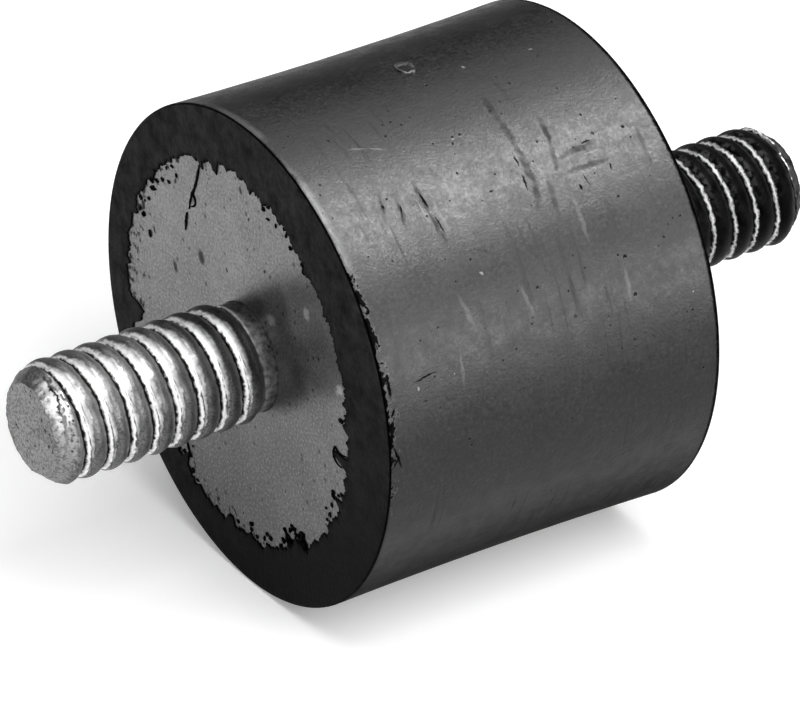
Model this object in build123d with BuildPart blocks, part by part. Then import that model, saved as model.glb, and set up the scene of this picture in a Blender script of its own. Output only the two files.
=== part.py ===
"""Bobbin vibration mount with a threaded stud at each end.

Millimetres. The studs lie along X, the front one towards -X, and the origin is the centre
of the rubber. Each end has a steel plate with a headed stud through it. The rubber is
moulded between the plates, round their rims and over the stud heads, and bonded to them.
"""

import os

from build123d import *

# Rubber
body_d = 25.4  # outside diameter at either end
body_h = 19.05  # from end face to end face
draw_in = 0.15  # how far cure shrinkage pulls the middle of the side in, on the radius
rim_bevel = 0.18  # narrow bevel round each end face
rim_wall = 1.6  # rubber round the rim of each plate
lip_reach = 1.2  # how far the lip laps over the plate's face
lip_t = 0.1  # thickness of that lip

# Plates
plate_t = 1.6
plate_edge = 0.2  # broken rim of the blanked disc, both faces

# Studs
thread_d = 6.15  # over the crests of a 1/4-20 UNC rolled thread
crest_rise = 0.32  # how far rolling raises the crests above the plain shank
stud_reach = 12.1  # from the rubber's end face to the tip
neck_len = 0.65  # plain shank in front of the plate
runout_len = 0.6  # where the thread fades into the plain shank
tip_depth = 0.8  # chamfer at the tip, on the radius
tip_len = 1.0  # the same chamfer, along the stud
head_d = 11.0  # flat round head behind the plate
head_t = 1.3
head_edge = 0.4  # bevel round the back of the head

# Fits
shank_gap = 0.05  # between the shank and its hole in the plate, on the radius
bond_film = 0.02  # cured adhesive between the rubber and the steel

# Worked out from the sizes above
half_h = body_h / 2
body_r = body_d / 2
plate_r = body_r - rim_wall
thread_r = thread_d / 2
shank_r = thread_r - crest_rise
head_r = head_d / 2
ends = {"front": -1, "rear": 1}


def end_plane(side):
    """The plane of one end face of the rubber, facing out."""
    return Plane(origin=(side * half_h, 0, 0), z_dir=(side, 0, 0))


def section_plane(side):
    """A plane through the studs, with X outward along one stud from the end face."""
    return Plane(origin=(side * half_h, 0, 0), x_dir=(side, 0, 0), z_dir=(0, 0, 1))


def half_section(*points):
    """Fill half a round piece's section, given as (along the stud, out from its axis)."""
    Polygon(*points, align=None)


def outer_corners():
    """The corners of the half section being drawn that lie furthest out, inner one first."""
    return vertices().group_by(Axis.Y)[-1].sort_by(Axis.X)


# The rubber: a slightly waisted cylinder, hollowed for the plates and the stud heads
seat_r = plate_r + bond_film
seat_front = bond_film - lip_t
seat_back = -lip_t - plate_t - bond_film
pocket_r = head_r + bond_film
pocket_back = seat_back - head_t

with BuildPart() as rubber_body:
    with BuildSketch(Plane.XY):
        with BuildLine():
            ThreePointArc((-half_h, body_r), (0, body_r - draw_in), (half_h, body_r))
            Polyline((half_h, body_r), (half_h, 0), (-half_h, 0), (-half_h, body_r))
        make_face()
        chamfer(vertices().group_by(Axis.Y)[-1], rim_bevel)
    revolve(axis=Axis.X)

    for side in ends.values():
        # Seat of the plate, closed on the outside by the lip
        with BuildSketch(section_plane(side)):
            half_section((seat_back, 0), (seat_back, seat_r), (seat_front, seat_r), (seat_front, 0))
            chamfer(outer_corners(), plate_edge + bond_film)
        revolve(axis=Axis.X, mode=Mode.SUBTRACT)
        # Pocket of the stud's head
        with BuildSketch(section_plane(side)):
            half_section(
                (pocket_back, 0), (pocket_back, pocket_r), (seat_back, pocket_r), (seat_back, 0)
            )
            chamfer(outer_corners()[0], head_edge + bond_film)
        revolve(axis=Axis.X, mode=Mode.SUBTRACT)
        # Window in the lip, where the plate's face shows
        with BuildSketch(end_plane(side)):
            Circle(plate_r - lip_reach)
        extrude(amount=-lip_t, mode=Mode.SUBTRACT)

rubber_body.part.label = "rubber_body"

# At each end: a blanked disc let into the rubber, and a headed stud through it
plate_face = -lip_t
plate_back = plate_face - plate_t
hole_r = shank_r + shank_gap
head_back = plate_back - head_t
thread_start = plate_face + neck_len
plates = {}
studs = {}
for end, side in ends.items():
    with BuildPart() as plate:
        with BuildSketch(section_plane(side)):
            half_section(
                (plate_back, hole_r), (plate_back, plate_r), (plate_face, plate_r), (plate_face, hole_r)
            )
            chamfer(outer_corners(), plate_edge)
        revolve(axis=Axis.X)
    plate.part.label = f"{end}_plate"
    plates[end] = plate.part

    with BuildPart() as stud:
        with BuildSketch(section_plane(side)):
            half_section(
                (stud_reach, 0),
                (stud_reach, thread_r - tip_depth),
                (stud_reach - tip_len, thread_r),
                (thread_start + runout_len, thread_r),
                (thread_start, shank_r),
                (plate_back, shank_r),
                (plate_back, head_r),
                (head_back, head_r),
                (head_back, 0),
            )
            chamfer(outer_corners()[0], head_edge)
        revolve(axis=Axis.X)
    stud.part.label = f"{end}_stud"
    studs[end] = stud.part

os.makedirs("parts", exist_ok=True)
export_step(rubber_body.part, "parts/rubber_body.step")
for end in ends:
    export_step(plates[end], f"parts/{end}_plate.step")
    export_step(studs[end], f"parts/{end}_stud.step")
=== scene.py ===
"""Looks of a bobbin vibration mount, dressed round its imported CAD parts.

Metres, in the CAD's own frame: the studs lie along X with the front one towards -X, +Z is up,
and the mount lies on its side on the bench. Sizes are written in millimetres, times MM.
"""

import math
import random

import bmesh
import bpy
from mathutils import Matrix, Vector, noise


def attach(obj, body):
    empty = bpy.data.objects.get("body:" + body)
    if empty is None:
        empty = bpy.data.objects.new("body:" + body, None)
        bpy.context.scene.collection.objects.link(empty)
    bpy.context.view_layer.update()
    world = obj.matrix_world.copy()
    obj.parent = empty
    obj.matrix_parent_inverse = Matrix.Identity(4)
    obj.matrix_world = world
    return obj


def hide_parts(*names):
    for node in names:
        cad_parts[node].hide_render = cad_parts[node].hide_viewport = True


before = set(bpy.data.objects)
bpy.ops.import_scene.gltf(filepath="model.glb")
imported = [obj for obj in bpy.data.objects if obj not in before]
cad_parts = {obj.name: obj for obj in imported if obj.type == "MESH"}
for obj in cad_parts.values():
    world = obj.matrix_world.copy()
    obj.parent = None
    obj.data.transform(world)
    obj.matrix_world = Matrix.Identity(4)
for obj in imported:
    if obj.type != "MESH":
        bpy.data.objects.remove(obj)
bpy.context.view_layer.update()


# ---------------------------------------------------------------------------------------
# Rubber body. One block of black natural rubber, moulded and cured between the two plates.
# It draws in at its middle as it cools, wraps the rim of each plate, and creeps over the
# plate's face as a thin torn lip of flash. Inside it is hollow for the plates and heads.
MM = 0.001
BODY_R = 12.7
HALF_H = 9.525
DRAW_IN = 0.15
RIM_ROUND = 0.18
TURN_STEPS = 1200
SECTORS = 4

PLATE_FACE = 9.425
PLATE_BACK = 7.825
SEAT_BACK = 7.805
SEAT_FRONT = 9.445
SEAT_R = 11.12
SEAT_BEVEL = 0.22
POCKET_BACK = 6.505
POCKET_R = 5.52
POCKET_BEVEL = 0.42

LIP_R = 9.9
LIP_FADE_R = 12.0
END_ZONE = 0.11
NEAR = 0.01
WELD = 0.0005
CREASE = math.radians(50)


def side_radius(x):
    """Radius of the drawn-in side at x, in mm from the middle."""
    return BODY_R - DRAW_IN * (1 - (x / HALF_H) ** 2)


def rim_points(steps):
    """The rounded outer rim of an end face, from the face to the side."""
    centre_x = HALF_H - RIM_ROUND
    centre_r = side_radius(centre_x) - RIM_ROUND
    turns = [math.pi / 2 * i / steps for i in range(steps + 1)]
    return [
        (centre_x + RIM_ROUND * math.cos(a), centre_r + RIM_ROUND * math.sin(a)) for a in turns
    ]


hollow = [
    (POCKET_BACK, 0),
    (POCKET_BACK, POCKET_R - POCKET_BEVEL),
    (POCKET_BACK + POCKET_BEVEL, POCKET_R),
    (SEAT_BACK, POCKET_R),
    (SEAT_BACK, SEAT_R - SEAT_BEVEL),
    (SEAT_BACK + SEAT_BEVEL, SEAT_R),
    (SEAT_FRONT - SEAT_BEVEL, SEAT_R),
    (SEAT_FRONT, SEAT_R - SEAT_BEVEL),
]
lip = [
    (PLATE_FACE - 0.004, LIP_R),
    (PLATE_FACE + 0.030, LIP_R),
    (PLATE_FACE + 0.050, LIP_R + 0.03),
    (PLATE_FACE + 0.063, LIP_R + 0.08),
    (PLATE_FACE + 0.075, LIP_R + 0.18),
    (PLATE_FACE + 0.088, LIP_R + 0.40),
    (PLATE_FACE + 0.096, LIP_R + 0.75),
    (HALF_H, LIP_R + 1.20),
    (HALF_H, LIP_R + 1.80),
    (HALF_H, LIP_R + 2.30),
]
side_stations = [9.25, 9.1, 8.95, 8.8, 8.6, 8.35, 8.0, 7.5, 6.8, 5.8, 4.6, 3.2, 1.6]
side = [(x, side_radius(x)) for x in side_stations]
half_outline = hollow + lip + rim_points(4) + side
outline = half_outline + [(0, side_radius(0))] + [(-x, r) for x, r in reversed(half_outline)]

# Waves of the torn edge, each as its height in mm and its scale, and the bites out of it
tear_waves = [(0.30, 0.35), (0.22, 1.3), (0.20, 3.9), (0.15, 8.0)]
BITE = 0.45
BITE_SCALE = 2.6
BITE_FROM = 0.08


def torn_radius(angle, seed, lean, tongues):
    """Radius of the torn inner edge of the lip at an angle about X.

    lean is how far the flash runs off centre, as (Y, Z), and tongues are its longest
    tongues, each as (angle in degrees, half width in mm, reach in mm).
    """
    off = math.hypot(*lean)
    bearing = angle - math.atan2(lean[1], lean[0])
    edge = off * math.cos(bearing) + math.sqrt(LIP_R**2 - (off * math.sin(bearing)) ** 2)
    around = Vector((math.cos(angle), math.sin(angle), 0)) * LIP_R
    shift = Vector((0, 0, seed))
    for height, scale in tear_waves:
        edge += height * noise.noise(around * scale + shift)
    edge -= BITE * max(0.0, noise.noise(around * BITE_SCALE + shift) - BITE_FROM)
    for tongue_at, half_width, reach in tongues:
        away = (angle - math.radians(tongue_at) + math.pi) % (2 * math.pi) - math.pi
        across = abs(away) * LIP_R / half_width
        if across < 1.5:
            edge -= reach * math.exp(-(across**4))
    return edge


FRONT_TEAR = 4.3
REAR_TEAR = 31.7
front_lean = (0.90, -0.30)
front_tongues = [
    (-13.5, 0.55, 1.1),
    (65.5, 0.16, 0.35),
    (73.6, 0.28, 0.5),
    (-169.5, 0.30, 1.2),
    (-153.5, 0.22, 0.5),
    (-117.0, 0.60, 0.25),
    (-81.0, 0.35, 0.45),
    (-57.0, 0.25, 0.3),
    (18.0, 0.2, 0.3),
    (92.0, 0.2, 0.2),
    (176.0, 0.5, 0.35),
]
rear_lean = (-0.25, 0.35)
rear_tongues = [
    (24.0, 0.3, 0.6),
    (97.0, 0.2, 0.45),
    (158.0, 0.45, 0.5),
    (-63.0, 0.25, 0.7),
    (-128.0, 0.5, 0.35),
]


def front_radius(angle):
    """Radius of the torn edge at the front end at an angle about X."""
    return torn_radius(angle, FRONT_TEAR, front_lean, front_tongues)


rubber_mesh = bmesh.new()
points = [rubber_mesh.verts.new((x * MM, r * MM, 0)) for x, r in outline]
lines = [rubber_mesh.edges.new(pair) for pair in zip(points, points[1:])]
bmesh.ops.spin(
    rubber_mesh,
    geom=points + lines,
    cent=(0, 0, 0),
    axis=(1, 0, 0),
    angle=2 * math.pi / SECTORS,
    steps=TURN_STEPS // SECTORS,
)
sector = rubber_mesh.verts[:] + rubber_mesh.edges[:] + rubber_mesh.faces[:]
for i in range(1, SECTORS):
    turned = bmesh.ops.duplicate(rubber_mesh, geom=sector)["geom"]
    bmesh.ops.rotate(
        rubber_mesh,
        verts=[g for g in turned if isinstance(g, bmesh.types.BMVert)],
        cent=(0, 0, 0),
        matrix=Matrix.Rotation(2 * math.pi * i / SECTORS, 3, "X"),
    )
bmesh.ops.remove_doubles(rubber_mesh, verts=rubber_mesh.verts, dist=WELD * MM)
bmesh.ops.recalc_face_normals(rubber_mesh, faces=rubber_mesh.faces)

ring_reach = LIP_FADE_R - LIP_R
edge_cache = {}
for v in rubber_mesh.verts:
    x, r = v.co.x / MM, math.hypot(v.co.y, v.co.z) / MM
    on_lip = abs(x) > PLATE_FACE - NEAR and LIP_R - NEAR < r < LIP_FADE_R
    if on_lip:
        angle = math.atan2(v.co.z, v.co.y)
        key = (x > 0, round(angle * TURN_STEPS / (2 * math.pi)) % TURN_STEPS)
        if key not in edge_cache:
            if x > 0:
                edge_cache[key] = torn_radius(angle, REAR_TEAR, rear_lean, rear_tongues)
            else:
                edge_cache[key] = front_radius(angle)
        follow = (LIP_FADE_R - r) / ring_reach
        moved = r + (edge_cache[key] - LIP_R) * follow
        v.co.y *= moved / r
        v.co.z *= moved / r

side_face, end_face = 0, 1
for f in rubber_mesh.faces:
    f.smooth = True
    x = abs(f.calc_center_median().x) / MM
    faces_out = x > HALF_H - END_ZONE and abs(f.normal.x) > 0.5
    f.material_index = end_face if faces_out else side_face

rubber_data = bpy.data.meshes.new("rubber")
rubber_mesh.to_mesh(rubber_data)
rubber_mesh.free()
rubber_data.set_sharp_from_angle(angle=CREASE)
rubber = bpy.data.objects.new("rubber", rubber_data)
bpy.context.scene.collection.objects.link(rubber)


def place(tree, kind, inputs=None, **settings):
    """Put a node in a tree, with its settings and with values or links for its inputs."""
    made = tree.nodes.new(kind)
    for name, value in settings.items():
        setattr(made, name, value)
    for socket, value in (inputs or {}).items():
        if isinstance(value, bpy.types.NodeSocket):
            tree.links.new(value, made.inputs[socket])
        else:
            made.inputs[socket].default_value = value
    return made


def new_finish(name, **shader_values):
    """A material with a Principled shader, and its node tree and shader."""
    finish = bpy.data.materials.new(name)
    finish.use_nodes = True
    tree = finish.node_tree
    shader = tree.nodes["Principled BSDF"]
    for socket, value in shader_values.items():
        shader.inputs[socket.replace("_", " ")].default_value = value
    return finish, tree, shader


def new_effect(name, inputs, outputs):
    """An empty node group with named inputs and outputs, as (tree, its input, its output)."""
    tree = bpy.data.node_groups.new(name, "ShaderNodeTree")
    for socket, kind, value in inputs:
        made = tree.interface.new_socket(socket, in_out="INPUT", socket_type=kind)
        if value is not None:
            made.default_value = value
    for socket, kind in outputs:
        tree.interface.new_socket(socket, in_out="OUTPUT", socket_type=kind)
    return tree, tree.nodes.new("NodeGroupInput"), tree.nodes.new("NodeGroupOutput")


def stretched(tree, scale):
    """Object coordinates in millimetres, times one scale, or one for each axis."""
    coords = place(tree, "ShaderNodeTexCoord")
    scales = scale if isinstance(scale, tuple) else (scale,) * 3
    return place(
        tree,
        "ShaderNodeMapping",
        {"Vector": coords.outputs["Object"], "Scale": tuple(s / MM for s in scales)},
    ).outputs[0]


def grain(tree, scale, detail=3.0, roughness=0.5):
    """A noise pattern's value, with its scale per millimetre."""
    return place(
        tree,
        "ShaderNodeTexNoise",
        {
            "Vector": stretched(tree, scale),
            "Scale": 1.0,
            "Detail": detail,
            "Roughness": roughness,
        },
    ).outputs["Fac"]


def placed(tree):
    """Where a point of the piece lies in millimetres, as separate X, Y and Z."""
    return place(tree, "ShaderNodeSeparateXYZ", {"Vector": stretched(tree, 1.0)}).outputs


def between(tree, value, low, high, to_low=0.0, to_high=1.0):
    """A value moved from one range to another, and kept inside it."""
    return place(
        tree,
        "ShaderNodeMapRange",
        {"Value": value, "From Min": low, "From Max": high, "To Min": to_low, "To Max": to_high},
    ).outputs[0]


def sum_of(tree, *values):
    """Values or sockets added up."""
    total = values[0]
    for value in values[1:]:
        total = place(tree, "ShaderNodeMath", {0: total, 1: value}, operation="ADD").outputs[0]
    return total


def product(tree, *values):
    """Values or sockets multiplied together."""
    total = values[0]
    for value in values[1:]:
        total = place(tree, "ShaderNodeMath", {0: total, 1: value}, operation="MULTIPLY").outputs[0]
    return total


def size_of(tree, value):
    """A value without its sign."""
    return place(tree, "ShaderNodeMath", {0: value}, operation="ABSOLUTE").outputs[0]


def strongest(tree, *masks):
    """The highest of some masks."""
    top = masks[0]
    for mask in masks[1:]:
        top = place(tree, "ShaderNodeMath", {0: top, 1: mask}, operation="MAXIMUM").outputs[0]
    return top


def blended(tree, mask, first, second):
    """Colour first where the mask is 0 and second where it is 1."""
    mixed = place(tree, "ShaderNodeMix", data_type="RGBA")
    for socket, value in ((0, mask), (6, first), (7, second)):
        if isinstance(value, bpy.types.NodeSocket):
            tree.links.new(value, mixed.inputs[socket])
        else:
            mixed.inputs[socket].default_value = value
    return mixed.outputs[2]


FLOAT = "NodeSocketFloat"
VECTOR = "NodeSocketVector"

# Specks: small round marks scattered over a surface, such as pits or grains of dust.
# Place is in the pattern's own units, Share is how many cells hold a mark.
specks, given, result = new_effect(
    "specks",
    [("Place", VECTOR, None), ("Share", FLOAT, 0.2), ("Size", FLOAT, 0.2)],
    [("Mask", FLOAT)],
)
cells = place(specks, "ShaderNodeTexVoronoi", {"Vector": given.outputs["Place"], "Scale": 1.0})
chance = place(specks, "ShaderNodeSeparateColor", {"Color": cells.outputs["Color"]})
held = place(
    specks,
    "ShaderNodeMath",
    {0: chance.outputs["Red"], 1: given.outputs["Share"]},
    operation="LESS_THAN",
)
own_size = product(specks, chance.outputs["Green"], given.outputs["Size"])
within = between(specks, cells.outputs["Distance"], own_size, 0.0, 0.0, 1.6)
specks.links.new(product(specks, within, held.outputs[0]), result.inputs["Mask"])


def scatter(tree, scale, share, size):
    """A mask of specks with so many cells per millimetre."""
    return place(
        tree,
        "ShaderNodeGroup",
        {"Place": stretched(tree, scale), "Share": share, "Size": size},
        node_tree=specks,
    ).outputs["Mask"]


def marks(tree, spot, lines):
    """A mask of long oval marks, each as its half width and its points in millimetres."""
    mask = 0.0
    for half_width, *points in lines:
        for start, end in zip(points, points[1:]):
            run = Vector(end) - Vector(start)
            oval = place(
                tree,
                "ShaderNodeMapping",
                {
                    "Vector": spot,
                    "Location": (*(Vector(start) + run / 2), 0),
                    "Rotation": (0, 0, math.atan2(run.y, run.x)),
                    "Scale": (run.length / 2 + half_width, half_width, 1),
                },
                vector_type="TEXTURE",
            )
            mark = place(
                tree,
                "ShaderNodeTexGradient",
                {"Vector": oval.outputs[0]},
                gradient_type="SPHERICAL",
            )
            mask = strongest(tree, mask, mark.outputs["Fac"])
    return between(tree, mask, 0.0, 0.5)


def shaken(tree, spot, scale, reach):
    """A place moved about by noise, so that marks drawn at it have ragged edges."""
    shake = place(tree, "ShaderNodeTexNoise", {"Vector": spot, "Scale": scale, "Detail": 2.0})
    swing = place(
        tree,
        "ShaderNodeVectorMath",
        {0: shake.outputs["Color"], 1: (0.5, 0.5, 0.5)},
        operation="SUBTRACT",
    )
    moved = place(
        tree, "ShaderNodeVectorMath", {0: swing.outputs[0], "Scale": 2 * reach}, operation="SCALE"
    )
    return place(
        tree, "ShaderNodeVectorMath", {0: spot, 1: moved.outputs[0]}, operation="ADD"
    ).outputs[0]


def round_x(tree, radius):
    """Where a point lies on a surface turned about X, as (along X, round it), in millimetres."""
    spot = placed(tree)
    turn = place(
        tree,
        "ShaderNodeMath",
        {0: product(tree, spot["Z"], -1.0), 1: product(tree, spot["Y"], -1.0)},
        operation="ARCTAN2",
    )
    return place(
        tree,
        "ShaderNodeCombineXYZ",
        {"X": spot["X"], "Y": product(tree, turn.outputs[0], radius)},
    ).outputs[0]


def grey(value):
    """A neutral colour."""
    return (value, value, value, 1.0)


def bumped(tree, shader, height, distance):
    """Raise a surface by a height pattern, at most by a distance in millimetres."""
    bump = place(
        tree, "ShaderNodeBump", {"Height": height, "Distance": distance * MM, "Strength": 1.0}
    )
    tree.links.new(bump.outputs[0], shader.inputs["Normal"])


# The moulded side is smooth and a little shiny, with pits, dust and faint cloudiness. Marks
# are placed by their distance along X from the middle, and round the side from -Y down.
RUBBER_BLACK = grey(0.006)
RUBBER_CLOUDED = grey(0.010)
RUBBER_BLOOM = grey(0.036)
# Pale grey of scratches and polished streaks, and of the painted highlight on the front rim.
PALE_RUB_AND_HIGHLIGHT = grey(0.14)
FRAYED_PALE = grey(0.16)
DRAGGED_BLACK = grey(0.003)
CUT_BLACK = grey(0.002)
DEEP_BLACK = grey(0.001)
DUST_PALE = grey(0.45)
FAR_RIM_SHADE = (9.20, 9.32)
ROUND_TO_BACK = 39.9
soft_drags = [
    (0.26, (2.1, -16.9), (2.0, -15.0), (2.0, -13.6), (1.9, -11.3), (1.5, -10.2)),
    (0.17, (4.0, -14.8), (3.7, -12.9), (3.3, -11.7)),
    (0.18, (2.7, -11.7), (2.3, -9.2)),
    (0.20, (3.6, -12.2), (6.0, -12.5)),
    (0.17, (3.7, -11.4), (6.4, -11.4)),
    (0.16, (-4.0, -13.4), (-4.0, -11.7), (-3.8, -9.9)),
    (0.14, (-5.2, -12.9), (-5.5, -11.2)),
    (0.14, (-6.0, -13.2), (-6.2, -12.1)),
]
deep_drags = [
    (0.08, (-4.0, -12.8), (-3.9, -11.9)),
    (0.05, (-3.8, -11.4), (-3.7, -10.4)),
    (0.05, (-5.2, -12.5), (-5.4, -11.8)),
    (0.08, (-6.1, -12.7), (-6.1, -12.6)),
    (0.05, (1.6, -13.1), (1.6, -12.5)),
    (0.06, (1.5, -12.0), (1.4, -11.2)),
    (0.08, (4.1, -10.6), (4.1, -10.4)),
    (0.04, (4.5, -11.1), (4.6, -10.3)),
    (0.05, (6.1, -11.2), (6.0, -10.8)),
    (0.05, (5.2, -12.6), (5.7, -12.6)),
    (0.07, (-1.6, -13.2), (-1.6, -13.1)),
    (0.07, (-0.5, -11.7), (-0.4, -11.7)),
    (0.06, (-0.9, -14.8), (-0.9, -14.7)),
    (0.06, (6.0, -14.1), (6.0, -14.0)),
]
rim_nicks = [
    (0.12, (-9.1, -4.7), (-9.1, -3.8)),
    (0.09, (-9.0, -3.2), (-9.2, -2.8)),
    (0.11, (-9.2, -2.6), (-9.4, -2.1)),
    (0.11, (-9.3, -2.0), (-9.4, -1.3)),
    (0.09, (-9.3, -1.4), (-8.8, 0.0)),
    (0.07, (-9.0, -0.6), (-9.3, -0.2)),
    (0.05, (-7.7, -4.1), (-6.3, -4.3)),
]
scratches = [
    (0.08, (-6.0, -16.3), (-5.0, -16.0), (-4.2, -15.6)),
    (0.05, (-4.3, -12.6), (-4.2, -11.0)),
    (0.06, (5.0, -12.0), (6.0, -12.0)),
]
polished = [
    (0.13, (-3.6, -12.3), (-3.4, -10.3)),
    (0.15, (-4.2, -7.4), (-3.8, -5.5)),
    (0.13, (-0.9, -7.0), (-0.5, -5.2)),
    (0.13, (4.9, -6.3), (4.8, -4.3)),
    (0.14, (3.5, -10.4), (3.4, -7.8)),
    (0.12, (-4.9, -4.9), (-5.0, -3.0)),
]
chips = [
    (0.08, (2.6, -19.4), (2.6, -19.3)),
    (0.06, (-0.8, -15.0), (-0.7, -15.0)),
    (0.08, (-2.7, -8.1), (-2.6, -8.0)),
    (0.08, (6.2, -19.0), (6.3, -19.0)),
    (0.07, (-7.5, -3.8), (-7.5, -3.7)),
]

moulded, tree, shader = new_finish("moulded_rubber", Roughness=0.42, Specular_IOR_Level=0.33)
on_side = round_x(tree, BODY_R)
cloud = grain(tree, 0.30, detail=4.0)
fine = grain(tree, 5.0, detail=3.0, roughness=0.65)
mottled = grain(tree, 1.3, detail=4.0, roughness=0.65)
drag = grain(tree, (2.6, 0.16, 0.16), detail=4.0, roughness=0.6)
drag_patch = between(tree, grain(tree, 0.22, detail=1.0), 0.48, 0.60)
drag_line = product(tree, between(tree, drag, 0.58, 0.70), drag_patch)
ragged = shaken(tree, on_side, 2.2, 0.16)
crisp = shaken(tree, on_side, 5.0, 0.07)
drag_break = between(tree, grain(tree, 1.8, detail=3.0), 0.36, 0.60, 0.30, 1.0)
soft = product(tree, marks(tree, ragged, soft_drags), drag_break)
deep = marks(tree, crisp, deep_drags + rim_nicks)
scored = marks(tree, crisp, scratches)
buffed = marks(tree, ragged, polished)
chipped = marks(tree, crisp, chips)
pits = strongest(tree, scatter(tree, 1.2, 0.28, 0.14), scatter(tree, 2.6, 0.30, 0.19))
dust = strongest(tree, scatter(tree, 1.1, 0.10, 0.075), product(tree, chipped, 0.5))
crisp_parts = place(tree, "ShaderNodeSeparateXYZ", {"Vector": crisp})
along, arc = crisp_parts.outputs["X"], crisp_parts.outputs["Y"]


def turned_under(first, full, most):
    """A mask that grows to most where the side turns under, and fades out again at the back."""
    at_back = between(tree, arc, ROUND_TO_BACK - first, ROUND_TO_BACK - full)
    return product(tree, between(tree, arc, first, full, 0.0, most), at_back)


# Painted highlight: a pale band along the upper part of the front rim, broken into patches.
rim_patch = between(tree, grain(tree, (0.8, 0.5, 0.5), detail=3.0), 0.40, 0.56)
rim_highlight = product(
    tree,
    between(tree, along, -8.95, -9.25),
    rim_patch,
    between(tree, arc, -9.5, -11.5),
    between(tree, arc, -22.5, -15.0, 0.35, 1.0),
)
rim_tears = sum_of(
    tree,
    grain(tree, (3.2, 2.4, 2.4), detail=3.0),
    between(tree, along, -8.75, -9.45, -0.16, 0.16),
    between(tree, arc, -12.0, -9.5, -0.3, 0.0),
    between(tree, arc, 3.5, -1.0, -0.3, 0.0),
)
by_rim = between(tree, along, -8.45, -8.90)
frayed = product(tree, between(tree, rim_tears, 0.56, 0.60), by_rim)
fringe = product(
    tree, between(tree, rim_tears, 0.50, 0.53), between(tree, rim_tears, 0.56, 0.54), by_rim
)
# Painted shade: a black band round the far rim, made unlit and duller too.
far_rim_shade = between(tree, along, *FAR_RIM_SHADE)
black = blended(tree, between(tree, cloud, 0.35, 0.65), RUBBER_BLACK, RUBBER_CLOUDED)
black = blended(tree, between(tree, fine, 0.54, 0.80, 0.0, 0.7), black, RUBBER_BLOOM)
black = blended(tree, between(tree, fine, 0.50, 0.36, 0.0, 0.9), black, DEEP_BLACK)
black = blended(tree, rim_highlight, black, PALE_RUB_AND_HIGHLIGHT)
black = blended(tree, product(tree, fringe, 0.35), black, FRAYED_PALE)
black = blended(tree, far_rim_shade, black, DEEP_BLACK)
black = blended(tree, drag_line, black, DRAGGED_BLACK)
black = blended(tree, strongest(tree, pits, deep, frayed), black, CUT_BLACK)
black = blended(tree, product(tree, scored, 0.6), black, PALE_RUB_AND_HIGHLIGHT)
black = blended(tree, product(tree, buffed, 0.32), black, PALE_RUB_AND_HIGHLIGHT)
black = blended(tree, dust, black, DUST_PALE)
tree.links.new(black, shader.inputs["Base Color"])
dull = sum_of(
    tree,
    between(tree, cloud, 0.3, 0.7, 0.39, 0.46),
    between(tree, fine, 0.3, 0.7, -0.08, 0.08),
    between(tree, mottled, 0.3, 0.7, -0.07, 0.07),
    product(tree, drag_line, 0.15),
    product(tree, soft, 0.16),
    product(tree, deep, 0.45),
    product(tree, far_rim_shade, 0.45),
    turned_under(4.5, 9.0, 0.50),
)
tree.links.new(dull, shader.inputs["Roughness"])
# Cuts, torn places and pits hold little or no shine.
# Painted shade: the far rim and the underside, where the side turns under, are made unlit.
unlit = strongest(
    tree,
    deep,
    frayed,
    far_rim_shade,
    product(tree, pits, 0.7),
    product(tree, soft, 0.45),
    turned_under(5.6, 9.8, 0.8),
)
tree.links.new(unlit, shader.inputs["Metallic"])
height = sum_of(
    tree,
    product(tree, grain(tree, 6.0, detail=3.0, roughness=0.7), 0.9),
    product(tree, mottled, 0.8),
    product(tree, drag_line, -0.5),
    product(tree, pits, -2.0),
    product(tree, grain(tree, 0.4, detail=1.0), 1.6),
)
bumped(tree, shader, height, 0.020)

# The end faces and the flash are matt, as rubber is where it was squeezed thin and torn. The
# faces carry painted light: a grey that grows towards their top, broken into patches.
PAINTED_TOP_GREY = grey(0.034)
THIN_EDGE = (HALF_H - 0.020, HALF_H - 0.045)
torn, tree, shader = new_finish("torn_rubber", Roughness=0.9, Specular_IOR_Level=0.15)
patchy = grain(tree, 1.1, detail=5.0, roughness=0.7)
flecks = scatter(tree, 1.5, 0.09, 0.17)
spot = placed(tree)
raised = sum_of(tree, spot["Z"], product(tree, spot["Y"], 0.5))
# Painted light: greyer towards the top of the end faces.
top_light_grey = product(
    tree, between(tree, raised, -12.0, 3.0, 0.03, 0.50), between(tree, patchy, 0.34, 0.66, 0.0, 2.0)
)
black = blended(tree, top_light_grey, grey(0.0), PAINTED_TOP_GREY)
# Painted shade: the lip's thin torn edge, and the strands with it, are made black and unlit.
thin_edge_shade = between(tree, size_of(tree, spot["X"]), *THIN_EDGE)
black = blended(tree, thin_edge_shade, black, DEEP_BLACK)
black = blended(tree, flecks, black, DUST_PALE)
tree.links.new(thin_edge_shade, shader.inputs["Metallic"])
tree.links.new(black, shader.inputs["Base Color"])
bumped(tree, shader, grain(tree, 5.0, detail=4.0), 0.06)

rubber_data.materials.append(moulded)
rubber_data.materials.append(torn)
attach(rubber, "root")
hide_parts("rubber_body")


# ---------------------------------------------------------------------------------------
# Gate mark. The stub of rubber left on the side where the runner of the mould fed the body,
# torn off when the part was pulled out: a low broken ring round a small hollow.
GATE_X = 0.26
GATE_TURN = math.radians(85.9)
GATE_R = 0.45
GATE_STRETCH = 1.5
GATE_FOOT = 12.50
GATE_TOP = 12.62
GATE_SIDES = 40
GATE_BLACK = grey(0.015)
GATE_GREY = grey(0.050)
GATE_HIGHLIGHT_GREY = grey(0.26)

# The torn ring steps in and down to its hollow: each step's inset and drop
gate_steps = [(0.10, 0.0), (0.08, 0.03), (0.07, 0.09), (0.08, 0.02)]
# Painted highlight on the crescent of the ring facing the light; painted shade in the hollow.
lit_crescent = [(0.14, (-0.45, -20.65), (-0.30, -20.42), (0.10, -20.36), (0.35, -20.25))]
shaded_hollow = [(0.13, (0.25, -20.72), (0.45, -20.78))]

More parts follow.
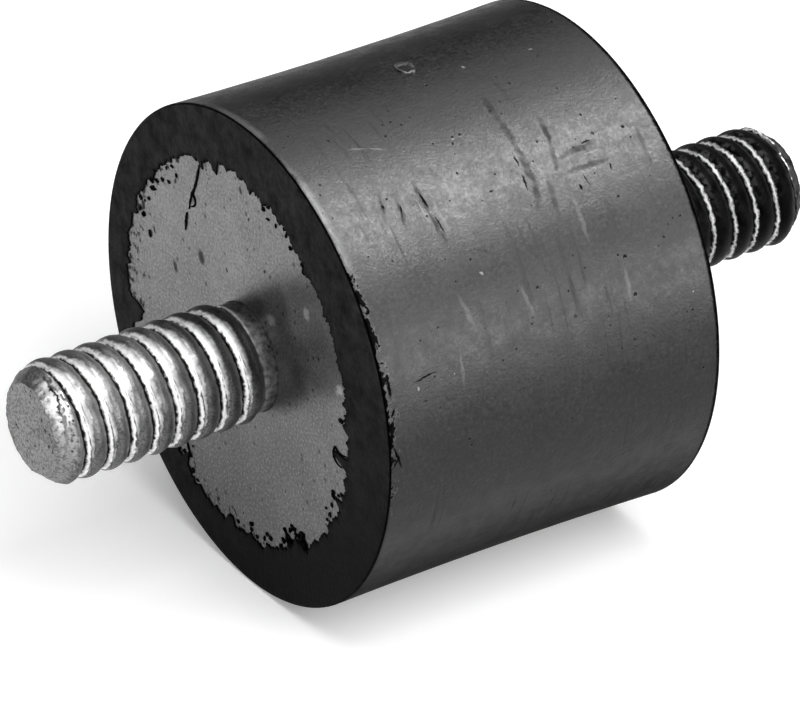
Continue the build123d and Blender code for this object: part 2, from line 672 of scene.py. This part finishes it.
gate_mesh = bmesh.new()
bmesh.ops.create_circle(gate_mesh, cap_ends=True, radius=GATE_R * MM, segments=GATE_SIDES)
floor = gate_mesh.faces[:]
wall = bmesh.ops.extrude_face_region(gate_mesh, geom=floor)["geom"]
top = [g for g in wall if isinstance(g, bmesh.types.BMFace)]
bmesh.ops.translate(
    gate_mesh,
    vec=(0, 0, (GATE_TOP - GATE_FOOT) * MM),
    verts=[g for g in wall if isinstance(g, bmesh.types.BMVert)],
)
for inset, drop in gate_steps:
    bmesh.ops.inset_individual(gate_mesh, faces=top, thickness=inset * MM, depth=-drop * MM)
bmesh.ops.recalc_face_normals(gate_mesh, faces=gate_mesh.faces)
for v in gate_mesh.verts:
    if v.co.z > 0:
        ripple = noise.noise(Vector((v.co.x, v.co.y, 0)) * 3.1 / MM + Vector((5.0, 0, 0)))
        v.co.x *= 1 + 0.12 * ripple
        v.co.y *= 1 - 0.15 * ripple
        v.co.z += min(0.0, 0.10 * ripple - 0.02) * MM
    v.co.y *= GATE_STRETCH
stand = Matrix.Rotation(GATE_TURN - math.pi / 2, 4, "X") @ Matrix.Translation(
    (GATE_X * MM, 0, GATE_FOOT * MM)
)
bmesh.ops.transform(gate_mesh, matrix=stand, verts=gate_mesh.verts)
for f in gate_mesh.faces:
    f.smooth = True
gate_data = bpy.data.meshes.new("gate_mark")
gate_mesh.to_mesh(gate_data)
gate_mesh.free()
gate_data.set_sharp_from_angle(angle=CREASE)
scar, tree, shader = new_finish("torn_gate", Roughness=0.5, Specular_IOR_Level=0.5)
scarred = between(tree, grain(tree, 4.0, detail=3.0), 0.35, 0.65)
on_gate = shaken(tree, round_x(tree, BODY_R), 4.0, 0.08)
# The hollow is painted shade, black and unlit; the crescent is a painted highlight.
hollow_shade = marks(tree, on_gate, shaded_hollow)
scar_grey = blended(tree, scarred, GATE_BLACK, GATE_GREY)
scar_grey = blended(tree, marks(tree, on_gate, lit_crescent), scar_grey, GATE_HIGHLIGHT_GREY)
tree.links.new(blended(tree, hollow_shade, scar_grey, DEEP_BLACK), shader.inputs["Base Color"])
tree.links.new(hollow_shade, shader.inputs["Metallic"])
bumped(tree, shader, scarred, 0.02)
gate_data.materials.append(scar)
gate = bpy.data.objects.new("gate_mark", gate_data)
bpy.context.scene.collection.objects.link(gate)
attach(gate, "root")


# ---------------------------------------------------------------------------------------
# Plates. Two discs blanked from sheet steel and zinc plated, let into the rubber's ends.
# The CAD parts have the right shape, and get the finish of the plating here: dull, mottled,
# with small pits, and with a film of rubber left on it near the lip.
ZINC_DULL = grey(0.19)
ZINC = grey(0.28)
ZINC_BLOTCH = grey(0.15)
ZINC_SHADE_GREY = grey(0.085)
ZINC_GRIT = grey(0.08)
ZINC_GLINT = grey(0.42)
ZINC_GLARE = grey(0.75)
ZINC_FINE_PIT = grey(0.06)
RUBBER_FILM = grey(0.01)

# Nicks, and spots of painted highlight, each as its half width and its points as (Y, Z)
plate_nicks = [
    (0.34, (4.0, 3.4), (4.1, 3.7)),
    (0.24, (6.4, 1.7), (6.5, 2.0)),
    (0.15, (0.5, 9.1), (0.4, 8.9)),
    (0.13, (8.3, 2.9), (8.4, 3.1)),
    (0.10, (1.7, 3.9), (1.8, 4.0)),
    (0.13, (6.4, 6.6), (6.3, 6.8)),
    (0.10, (-1.6, 5.5), (-1.7, 5.6)),
    (0.10, (-0.2, 7.7), (-0.3, 7.8)),
]
plate_glare = [
    (0.34, (-1.95, 3.15), (-2.35, 3.10)),
    (0.30, (-5.35, 4.85), (-5.30, 5.15)),
    (0.28, (-8.25, 2.35), (-8.05, 2.10)),
]

zinc, tree, shader = new_finish("zinc_plate", Metallic=1.0, Roughness=0.35)
mottle = grain(tree, 1.2, detail=5.0, roughness=0.6)
blotch = grain(tree, 0.35, detail=3.0)
grit = grain(tree, 7.0, detail=3.0)
plate_pits = scatter(tree, 0.55, 0.20, 0.16)
fine_pits = scatter(tree, 1.9, 0.34, 0.32)
spot = placed(tree)
across = place(tree, "ShaderNodeCombineXYZ", {"X": spot["Y"], "Y": spot["Z"]}).outputs[0]
nicked = marks(tree, shaken(tree, across, 6.0, 0.05), plate_nicks)
glare_spots = marks(tree, shaken(tree, across, 3.0, 0.25), plate_glare)
metal = blended(tree, between(tree, mottle, 0.3, 0.7), ZINC_DULL, ZINC)
metal = blended(tree, between(tree, blotch, 0.40, 0.65, 0.0, 0.45), metal, ZINC_BLOTCH)
# Painted shade: darker towards the bottom, where the plate reflects the shadowed sheet.
lower_shade = between(tree, spot["Z"], 5.5, -5.0, 0.0, 0.42)
metal = blended(tree, lower_shade, metal, ZINC_SHADE_GREY)
metal = blended(tree, between(tree, grit, 0.50, 0.68, 0.0, 0.5), metal, ZINC_GRIT)
metal = blended(tree, between(tree, grit, 0.47, 0.32, 0.0, 0.45), metal, ZINC_GLINT)
# Painted highlights: soft pale spots on the plate beside the stud.
metal = blended(tree, product(tree, glare_spots, 0.6), metal, ZINC_GLARE)
metal = blended(tree, fine_pits, metal, ZINC_FINE_PIT)
sunken = strongest(tree, plate_pits, nicked)
metal = blended(tree, sunken, metal, RUBBER_FILM)
out = place(tree, "ShaderNodeVectorMath", {0: across}, operation="LENGTH")
near_lip = between(tree, out.outputs["Value"], 7.8, 10.2)
smear_grain = grain(tree, 2.5, detail=4.0)
smear = between(tree, sum_of(tree, smear_grain, product(tree, near_lip, 0.25)), 0.79, 0.87)
metal = blended(tree, product(tree, smear, 0.85), metal, RUBBER_FILM)
tree.links.new(metal, shader.inputs["Base Color"])
rough = sum_of(tree, between(tree, mottle, 0.3, 0.7, 0.30, 0.40), product(tree, smear, 0.4))
tree.links.new(rough, shader.inputs["Roughness"])
height = sum_of(tree, product(tree, grit, 0.3), product(tree, sunken, -2.0), mottle)
bumped(tree, shader, height, 0.006)

for name in ("front_plate", "rear_plate"):
    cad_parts[name].material_slots[0].material = zinc


# ---------------------------------------------------------------------------------------
# Flash strands. Hairs and crumbs of rubber that leaked over the front plate past the lip and
# were left behind when the lip was torn: thin, flat and stuck to the plating.
STRAND_T = 0.045
STRAND_SINK = 0.004
STRAND_CUTS = 4
STRAND_ROUNDS = 3
CRUMB_SIDES = 20
CRUMB_SPREAD = 0.75

# Each strand has its width and its points as (Y, Z)
strands = [
    (0.15, (3.70, 9.45), (3.95, 9.00), (4.20, 8.40), (4.37, 7.75), (4.60, 7.10),
     (4.85, 6.65), (5.02, 6.15), (5.10, 5.75)),
    (0.12, (4.78, 6.75), (4.52, 6.50), (4.56, 6.15), (4.95, 5.95)),
    (0.17, (5.30, 5.45), (5.38, 5.05), (5.46, 4.40)),
    (0.11, (-8.85, -1.15), (-8.10, -1.35), (-7.75, -0.95), (-7.60, -1.75),
     (-8.20, -2.05), (-8.80, -1.75)),
    (0.16, (5.15, -8.35), (5.42, -8.10), (5.55, -7.70)),
    (0.12, (-4.95, -8.35), (-4.50, -8.05), (-4.20, -8.35)),
    (0.10, (3.05, 9.55), (2.75, 9.00), (2.55, 8.85)),
]
# Each crumb has its place and its half sizes along Y and Z
crumbs = [
    (-8.32, 0.60, 0.20, 0.14),
    (8.75, 2.60, 0.13, 0.20),
    (6.95, 6.35, 0.12, 0.10),
    (-3.65, -8.50, 0.34, 0.30),
    (-4.80, -7.85, 0.30, 0.34),
    (-4.25, -8.45, 0.42, 0.20),
]
# Where crumbs gather: the angles about X they lie between, in degrees, and how many
crumb_patches = [
    (-124, -112, 34),
    (-112, -84, 14),
    (-156, -140, 10),
    (-64, -40, 16),
    (12, 50, 18),
    (96, 128, 12),
]
loose = random.Random(11)
for first, last, count in crumb_patches:
    for _ in range(count):
        bearing = math.radians(loose.uniform(first, last))
        reach = front_radius(bearing) - CRUMB_SPREAD * loose.random() ** 1.5
        crumbs.append(
            (
                reach * math.cos(bearing),
                reach * math.sin(bearing),
                loose.uniform(0.05, 0.17),
                loose.uniform(0.05, 0.15),
            )
        )

flash_mesh = bmesh.new()
for width, *points in strands:
    corners = [Vector((0, y, z)) for y, z in points]
    path = [
        a.lerp(b, i / STRAND_CUTS) for a, b in zip(corners, corners[1:]) for i in range(STRAND_CUTS)
    ]
    path.append(corners[-1])
    for _ in range(STRAND_ROUNDS):
        inner = [(a + 2 * b + c) / 4 for a, b, c in zip(path, path[1:], path[2:])]
        path = [path[0]] + inner + [path[-1]]
    last = len(path) - 1
    left, right = [], []
    for i, spot in enumerate(path):
        ahead = (path[min(i + 1, last)] - path[max(i - 1, 0)]).normalized()
        sideways = Vector((0, -ahead.z, ahead.y))
        taper = 0.35 + 0.65 * min(1.0, 4 * min(i, last - i) / last)
        wave = noise.noise(spot * 2.3) + 0.6 * noise.noise(spot * 7.0)
        half = width / 2 * taper * (1 + 0.7 * wave)
        left.append(flash_mesh.verts.new((spot + sideways * half) * MM))
        right.append(flash_mesh.verts.new((spot - sideways * half) * MM))
    banks = [flash_mesh.edges.new(pair) for bank in (left, right) for pair in zip(bank, bank[1:])]
    bmesh.ops.bridge_loops(flash_mesh, edges=banks)
for y, z, half_y, half_z in crumbs:
    crumb = bmesh.ops.create_circle(flash_mesh, cap_ends=True, radius=MM, segments=CRUMB_SIDES)
    for v in crumb["verts"]:
        swell = 1 + 0.5 * noise.noise(v.co * 1.4 / MM + Vector((y, z, 0)))
        v.co = Vector((0, y * MM + v.co.x * half_y * swell, z * MM + v.co.y * half_z * swell))
raised = bmesh.ops.extrude_face_region(flash_mesh, geom=flash_mesh.faces[:])["geom"]
for v in (g for g in raised if isinstance(g, bmesh.types.BMVert)):
    v.co.x -= STRAND_T * MM
bmesh.ops.translate(
    flash_mesh, vec=(-(PLATE_FACE - STRAND_SINK) * MM, 0, 0), verts=flash_mesh.verts
)
bmesh.ops.recalc_face_normals(flash_mesh, faces=flash_mesh.faces)
flash_data = bpy.data.meshes.new("flash_strands")
flash_mesh.to_mesh(flash_data)
flash_mesh.free()
flash_data.materials.append(torn)
flash = bpy.data.objects.new("flash_strands", flash_data)
bpy.context.scene.collection.objects.link(flash)
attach(flash, "root")


# ---------------------------------------------------------------------------------------
# Studs. Headed steel studs with rolled 1/4-20 UNC right-hand threads, zinc plated, pushed
# through the plates from the rubber side. Rolling raises the crests above the plain shank.
PITCH = 1.27
THREAD_R = 3.075
SHANK_R = 2.755
TIP_X = HALF_H + 12.1
TIP_R = 2.275
TIP_LEN = 1.0
NECK_END = PLATE_FACE + 0.65
RUNOUT_LEN = 0.6
HEAD_R = 5.5
HEAD_BACK = 6.525
HEAD_EDGE = 0.4
STUD_STEPS = 144
THREAD_WELD = 0.001
ON_CUT = 0.0001
THREAD_CREASE = math.radians(40)
FRONT_PHASE = math.radians(5)
REAR_PHASE = math.radians(-8)

# Wear of the metal: how deep crests are worn, and how rough the chamfer was sheared
CREST_WEAR = 0.012
TIP_DENT = 0.08
TIP_CHATTER = 0.05

RIB_STEPS = 14
FLANK = math.radians(58)
RIB_ROUND = PITCH / 2 / math.sin(FLANK)

# Rings of the tip's flat face, as shares of its radius
tip_rings = [1.0, 0.985, 0.93, 0.84, 0.74, 0.64, 0.53, 0.42, 0.31, 0.2, 0.1]


def thread_form(steps):
    """One thread, a rounded rib between two sharp valleys, as (along, below the crest)."""
    turns = [FLANK * (2 * i / steps - 1) for i in range(steps)]
    return [
        (PITCH / 2 + RIB_ROUND * math.sin(a), RIB_ROUND * (1 - math.cos(a))) for a in turns
    ]


def make_stud(name, phase, heading, seed):
    """A threaded stud along +X, turned by its phase about X, then to its heading about Z.

    seed shifts the wear, so that no two studs show the same wear.
    """
    whole = thread_form(RIB_STEPS)
    mesh = bmesh.new()
    first = math.floor((PLATE_BACK - 2 * PITCH) / PITCH)
    last = math.ceil((TIP_X + PITCH) / PITCH)
    points = [
        mesh.verts.new(((turn * PITCH + along) * MM, (THREAD_R - depth) * MM, 0))
        for turn in range(first, last)
        for along, depth in whole
    ]
    lines = [mesh.edges.new(pair) for pair in zip(points, points[1:])]
    bmesh.ops.spin(
        mesh,
        geom=points + lines,
        cent=(0, 0, 0),
        axis=(1, 0, 0),
        dvec=(PITCH * MM / STUD_STEPS, 0, 0),
        angle=2 * math.pi,
        steps=STUD_STEPS,
    )
    bmesh.ops.remove_doubles(mesh, verts=mesh.verts, dist=THREAD_WELD * MM)

    for x, keep_below in ((TIP_X, True), (PLATE_BACK, False)):
        bmesh.ops.bisect_plane(
            mesh,
            geom=mesh.verts[:] + mesh.edges[:] + mesh.faces[:],
            dist=ON_CUT * MM,
            plane_co=(x * MM, 0, 0),
            plane_no=(1, 0, 0),
            clear_outer=keep_below,
            clear_inner=not keep_below,
        )

    for v in mesh.verts:
        x, r = v.co.x / MM, math.hypot(v.co.y, v.co.z) / MM
        spot = v.co / MM + Vector((seed, 0, 0))
        risen = min(1.0, max(0.0, (x - NECK_END) / RUNOUT_LEN))
        crest = THREAD_R - CREST_WEAR * abs(noise.noise(spot * 5.0))
        depth = 1 + 0.25 * noise.noise(spot * 1.1) + 0.3 * noise.noise(spot * 4.5)
        threaded = crest - (THREAD_R - r) * depth
        wanted = SHANK_R + (threaded - SHANK_R) * risen * risen * (3 - 2 * risen)
        chamfer = THREAD_R - (THREAD_R - TIP_R) * (x - TIP_X + TIP_LEN) / TIP_LEN
        chamfer += TIP_DENT * noise.noise(spot * 2.2) + TIP_CHATTER * noise.noise(spot * 6.0)
        wanted = min(wanted, chamfer)
        v.co.y *= wanted / r
        v.co.z *= wanted / r

    def open_end(x):
        """The open edge loop at x."""
        return [
            e
            for e in mesh.edges
            if e.is_boundary and all(abs(v.co.x / MM - x) < NEAR for v in e.verts)
        ]

    def step_to(edges, x, r_scale):
        """Draw a loop out to a new x and radius, and give the new loop."""
        made = bmesh.ops.extrude_edge_only(mesh, edges=edges)["geom"]
        for v in (g for g in made if isinstance(g, bmesh.types.BMVert)):
            v.co = Vector((x * MM, v.co.y * r_scale, v.co.z * r_scale))
        return [g for g in made if isinstance(g, bmesh.types.BMEdge) and g.is_boundary]

    def close(edges, x):
        """Close a loop to a point on the axis."""
        made = bmesh.ops.extrude_edge_only(mesh, edges=edges)["geom"]
        ends = [g for g in made if isinstance(g, bmesh.types.BMVert)]
        bmesh.ops.pointmerge(mesh, verts=ends, merge_co=(x * MM, 0, 0))

    loop = open_end(TIP_X)
    for outer, inner in zip(tip_rings, tip_rings[1:]):
        loop = step_to(loop, TIP_X, inner / outer)
    close(loop, TIP_X)

    loop = open_end(PLATE_BACK)
    loop = step_to(loop, PLATE_BACK, HEAD_R / SHANK_R)
    loop = step_to(loop, HEAD_BACK + HEAD_EDGE, 1.0)
    loop = step_to(loop, HEAD_BACK, (HEAD_R - HEAD_EDGE) / HEAD_R)
    close(loop, HEAD_BACK)

    bmesh.ops.recalc_face_normals(mesh, faces=mesh.faces)

    # U runs across each rib, from the valley on its -X side in the finished part. V is 0 on
    # the neck, 1 on the full thread and 2 at the tip.
    thread_map = mesh.loops.layers.uv.new("thread")
    for f in mesh.faces:
        middle = f.calc_center_median() / MM
        facing = math.atan2(middle.z, middle.y)
        rib = math.floor(middle.x / PITCH - facing / (2 * math.pi))
        for corner in f.loops:
            spot = corner.vert.co / MM
            swing = math.atan2(spot.z, spot.y) - facing
            swing = (swing + math.pi) % (2 * math.pi) - math.pi
            across_rib = spot.x / PITCH - (facing + swing) / (2 * math.pi) - rib
            formed = min(1.0, max(0.0, (spot.x - NECK_END) / RUNOUT_LEN))
            tipped = min(1.0, max(0.0, (spot.x - TIP_X + TIP_LEN) / TIP_LEN))
            corner[thread_map].uv = (1 - across_rib if heading else across_rib, formed + tipped)

    turn = Matrix.Rotation(heading, 4, "Z") @ Matrix.Rotation(phase, 4, "X")
    bmesh.ops.transform(mesh, matrix=turn, verts=mesh.verts)
    for f in mesh.faces:
        f.smooth = True
    data = bpy.data.meshes.new(name)
    mesh.to_mesh(data)
    mesh.free()
    data.set_sharp_from_angle(angle=THREAD_CREASE)
    made = bpy.data.objects.new(name, data)
    bpy.context.scene.collection.objects.link(made)
    return made


REFLECTION_GREY = grey(0.14)
SPLIT_AT = 0.20  # across a rib
START_AT = 1.62  # along the stud, where 1 is the full thread and 2 the tip
START_LEAN = 0.06
STREAKS_ACROSS = 13.0
STREAKS_ROUND = 0.7
SATIN = 0.45


def thread_finish(name, crest, highlight_grey, fade, wide, flank, valley, neck, chamfer_highlight_grey, dull, uneven):
    """Plating on a rolled thread, from greys for its parts.

    crest is the range over the crests, rubbed the grey of the painted highlight on one side of
    each rib, which fades out between the two shares of a rib in fade, or in wide on the upper
    side of the stud where the light falls. flank is the other side, valley the grey of the
    painted shade in the roots and of pits and chips, neck the plain shank and filed the grey of
    the painted highlight on the tip's chamfer. dull is the range of roughness, and uneven how
    far the painted highlight's edge wanders.
    """
    made, tree, shader = new_finish(name, Metallic=1.0, Roughness=0.4)
    mapped = place(tree, "ShaderNodeUVMap", uv_map="thread")
    thread = place(tree, "ShaderNodeSeparateXYZ", {"Vector": mapped.outputs["UV"]})
    rib, formed = thread.outputs["X"], thread.outputs["Y"]
    mottle = grain(tree, 1.6, detail=5.0, roughness=0.6)
    grit = grain(tree, 9.0, detail=2.0)
    pits = scatter(tree, 2.4, 0.18, 0.25)
    arc = place(tree, "ShaderNodeSeparateXYZ", {"Vector": round_x(tree, THREAD_R)}).outputs["Y"]
    ribbon = place(
        tree,
        "ShaderNodeCombineXYZ",
        {"X": product(tree, rib, STREAKS_ACROSS), "Y": product(tree, arc, STREAKS_ROUND)},
    )
    streak = place(
        tree, "ShaderNodeTexNoise", {"Vector": ribbon.outputs[0], "Scale": 1.0, "Detail": 4.0}
    ).outputs["Fac"]
    nibbled = grain(tree, 3.6, detail=3.0)
    jagged = sum_of(tree, rib, between(tree, nibbled, 0.3, 0.7, -0.035, 0.035))
    metal = blended(tree, between(tree, mottle, 0.35, 0.65), grey(crest[0]), grey(crest[1]))
    metal = blended(tree, between(tree, grit, 0.48, 0.66, 0.0, 0.75), metal, grey(crest[0] * 0.4))
    metal = blended(tree, between(tree, jagged, 0.62, 0.86), metal, grey(flank))
    # Painted reflection: grey patches by the -X valley of each rib, on the upper side.
    reflection_patch = product(
        tree,
        between(tree, jagged, 0.50, 0.14),
        between(tree, nibbled, 0.44, 0.60, 0.0, 0.9),
        between(tree, arc, -0.8, -3.0),
    )
    metal = blended(tree, reflection_patch, metal, REFLECTION_GREY)
    # Upper front of the stud, where the light falls: crests get painted shade, highlights widen.
    lit_side = product(tree, between(tree, arc, 1.0, -2.8), between(tree, arc, -5.2, -3.6))
    metal = blended(tree, product(tree, lit_side, 0.6), metal, grey(crest[0] * 0.35))
    fade_to = between(tree, lit_side, 0.0, 1.0, fade[1], wide[1])
    fade_from = between(tree, lit_side, 0.0, 1.0, fade[0], wide[0])
    wandering = sum_of(tree, jagged, between(tree, mottle, 0.3, 0.7, -uneven, uneven))
    # Painted highlight: a pale band on the -X shoulder of each rib, broken by streaks.
    highlight_band = product(
        tree,
        between(tree, wandering, fade_to, fade_from),
        between(tree, streak, 0.34, 0.50, 0.6, 1.0),
    )
    metal = blended(tree, highlight_band, metal, grey(highlight_grey))
    # Painted shade: a darker line that splits the painted highlight in two, on the stud's front.
    split_line = product(
        tree,
        between(tree, size_of(tree, sum_of(tree, jagged, -SPLIT_AT)), 0.045, 0.020),
        between(tree, streak, 0.58, 0.46),
        between(tree, arc, -3.4, -2.0),
        between(tree, arc, 3.6, 2.6),
    )
    metal = blended(tree, product(tree, split_line, 0.85), metal, grey(valley * 4))
    # Painted shade: the roots of the thread are darkened.
    root_shade = strongest(tree, between(tree, jagged, 0.085, 0.035), between(tree, jagged, 0.93, 0.97))
    metal = blended(tree, root_shade, metal, grey(valley))
    on_neck = blended(tree, between(tree, nibbled, 0.35, 0.60), grey(neck * 0.45), grey(neck * 1.2))
    metal = blended(tree, between(tree, formed, 0.7, 0.2), metal, on_neck)
    tip = blended(tree, between(tree, grit, 0.40, 0.62), grey(crest[1] * 1.6), grey(crest[0] * 1.4))
    sheared_at = sum_of(tree, formed, between(tree, nibbled, 0.3, 0.7, -0.2, 0.2))
    sheared = between(tree, sheared_at, 1.15, 1.35)
    metal = blended(tree, sheared, metal, tip)
    # Painted highlight on the tip's chamfer, on the upper side where the light falls.
    chamfered = product(
        tree,
        between(tree, formed, 1.08, 1.20),
        between(tree, formed, 1.92, 1.70),
        lit_side,
        between(tree, nibbled, 0.40, 0.50),
    )
    metal = blended(tree, chamfered, metal, grey(chamfer_highlight_grey))
    from_start = sum_of(
        tree,
        formed,
        product(tree, arc, -START_LEAN),
        between(tree, nibbled, 0.3, 0.7, -0.10, 0.10),
        -START_AT,
    )
    start = product(tree, between(tree, size_of(tree, from_start), 0.09, 0.04), lit_side)
    chips = product(tree, scatter(tree, 3.0, 0.22, 0.34), sheared)
    glints = product(tree, scatter(tree, 2.3, 0.14, 0.28), sheared)
    metal = blended(tree, product(tree, glints, 0.8), metal, grey(crest[1] * 3.0))
    metal = blended(tree, strongest(tree, pits, chips, start), metal, grey(valley))
    tree.links.new(metal, shader.inputs["Base Color"])
    highlit_rib = product(tree, highlight_band, between(tree, formed, 1.5, 1.2))
    satin = between(tree, strongest(tree, highlit_rib, chamfered), 0.0, 1.0, 1.0, SATIN)
    tree.links.new(satin, shader.inputs["Metallic"])
    rough = sum_of(tree, between(tree, mottle, 0.3, 0.7, *dull), product(tree, root_shade, 0.3))
    tree.links.new(rough, shader.inputs["Roughness"])
    height = sum_of(
        tree,
        product(tree, grit, 0.8),
        product(tree, pits, -1.0),
        product(tree, streak, 0.4),
        product(tree, root_shade, -1.5),
        mottle,
    )
    bumped(tree, shader, height, 0.010)
    return made


# The front stud has a painted highlight on one shoulder of its ribs. The rear one is a darker
# copy of the same plating, painted shade, with only a thin line of painted highlight.
zinc_thread = thread_finish(
    "zinc_thread",
    crest=(0.11, 0.20),
    highlight_grey=1.0,
    fade=(0.13, 0.24),
    wide=(0.17, 0.50),
    flank=0.24,
    valley=0.006,
    neck=0.20,
    chamfer_highlight_grey=0.62,
    dull=(0.40, 0.54),
    uneven=0.06,
)
dark_thread = thread_finish(
    "shaded_thread",
    crest=(0.001, 0.008),
    highlight_grey=1.0,
    fade=(0.10, 0.165),
    wide=(0.11, 0.19),
    flank=0.001,
    valley=0.002,
    neck=0.03,
    chamfer_highlight_grey=0.034,
    dull=(0.48, 0.62),
    uneven=0.03,
)

front_stud = make_stud("front_threaded_stud", FRONT_PHASE, math.pi, seed=2.0)
rear_stud = make_stud("rear_threaded_stud", REAR_PHASE, 0.0, seed=9.0)
for stud, node, finish in (
    (front_stud, "front_stud", zinc_thread),
    (rear_stud, "rear_stud", dark_thread),
):
    stud.data.materials.append(finish)
    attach(stud, "root")
    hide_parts(node)


# ---------------------------------------------------------------------------------------
# Bench and studio. A matt white sheet on a dark bench. Two wide soft lamps light the sheet
# from over and in front of the mount. Cards that only show as reflections shape the steel
# and the shine along the rubber.
BENCH_Z = -BODY_R
BENCH_SIZE = 6.0
SHEET_R = 0.16
SHEET_FADE_R = 0.34
SHEET_WHITE = grey(0.92)
BENCH_DARK = grey(0.12)
ROOM_DIM = grey(0.10)
CAMERA_GLOW = 0.31
MIRROR_GLOW = 0.04

bench_mesh = bmesh.new()
bmesh.ops.create_grid(bench_mesh, x_segments=8, y_segments=8, size=BENCH_SIZE / 2)
bmesh.ops.translate(bench_mesh, vec=(0, 0, BENCH_Z * MM), verts=bench_mesh.verts)
bench_data = bpy.data.meshes.new("bench")
bench_mesh.to_mesh(bench_data)
bench_mesh.free()
bench = bpy.data.objects.new("bench", bench_data)
bpy.context.scene.collection.objects.link(bench)

white, tree, shader = new_finish("bench_white", Roughness=1.0, Specular_IOR_Level=0.0)
spot = place(tree, "ShaderNodeTexCoord")
off = place(tree, "ShaderNodeVectorMath", {0: spot.outputs["Object"]}, operation="LENGTH")
edge = between(tree, off.outputs["Value"], SHEET_R, SHEET_FADE_R)
tree.links.new(blended(tree, edge, SHEET_WHITE, BENCH_DARK), shader.inputs["Base Color"])
seen = place(tree, "ShaderNodeLightPath")
shown = strongest(
    tree,
    product(tree, seen.outputs["Is Camera Ray"], CAMERA_GLOW),
    product(tree, seen.outputs["Is Glossy Ray"], MIRROR_GLOW),
    product(tree, seen.outputs["Is Transmission Ray"], CAMERA_GLOW),
)
glow = product(tree, shown, between(tree, edge, 0.0, 1.0, 1.0, 0.0))
tree.links.new(glow, shader.inputs["Emission Strength"])
shader.inputs["Emission Color"].default_value = grey(1.0)
bench_data.materials.append(white)


def hang_lamp(name, toward, distance, width, height, radiance):
    """A rectangular soft lamp in a direction from the mount, aimed at it."""
    heading = Vector(toward).normalized()
    data = bpy.data.lights.new(name, "AREA")
    data.shape = "RECTANGLE"
    data.size, data.size_y = width, height
    data.energy = radiance * math.pi * width * height
    lamp = bpy.data.objects.new(name, data)
    lamp.location = heading * distance
    lamp.rotation_mode = "QUATERNION"
    lamp.rotation_quaternion = (-heading).to_track_quat("-Z", "Y")
    lamp.visible_camera = False
    bpy.context.scene.collection.objects.link(lamp)
    return lamp


# Each lamp and card has its direction, distance, width and height in metres, and radiance
lamps = {
    "over_lamp": ((-0.05, -0.10, 0.99), 1.2, 0.9, 0.9, 2.3),
    "front_lamp": ((0.04, -0.66, 0.72), 1.4, 1.0, 1.0, 6.4),
}
cards = {
    "key_card": ((0.47, -0.228, 0.853), 1.0, 0.62, 0.44, 27.0),
    "back_card": ((0.47, 0.42, 0.77), 1.0, 0.50, 0.46, 2.7),
    "front_card": ((0.47, -0.86, 0.16), 0.9, 0.60, 0.46, 11.0),
    "left_card": ((-0.87, -0.20, 0.45), 1.0, 0.80, 0.80, 4.6),
}
for name, hung in lamps.items():
    hang_lamp(name, *hung).visible_glossy = False
for name, hung in cards.items():
    hang_lamp(name, *hung).visible_diffuse = False

world = bpy.data.worlds.new("studio")
bpy.context.scene.world = world
world.use_nodes = True
world.node_tree.nodes["Background"].inputs["Color"].default_value = ROOM_DIM


# ---------------------------------------------------------------------------------------
# Camera. A long lens from the front left and above.
AIM = Vector((-3.30, -4.08, 0.0)) * MM
DISTANCE = 446 * MM
AZIMUTH = math.radians(-33.24)
ELEVATION = math.radians(31.02)
LENS = 416.8

back = Vector(
    (
        math.sin(AZIMUTH) * math.cos(ELEVATION),
        -math.cos(AZIMUTH) * math.cos(ELEVATION),
        math.sin(ELEVATION),
    )
)
camera_data = bpy.data.cameras.new("camera")
camera_data.lens = LENS
camera = bpy.data.objects.new("camera", camera_data)
camera.location = AIM + back * DISTANCE
camera.rotation_mode = "QUATERNION"
camera.rotation_quaternion = (-back).to_track_quat("-Z", "Y")
bpy.context.scene.collection.objects.link(camera)
bpy.context.scene.camera = camera
bpy.context.scene.view_settings.view_transform = "Standard"
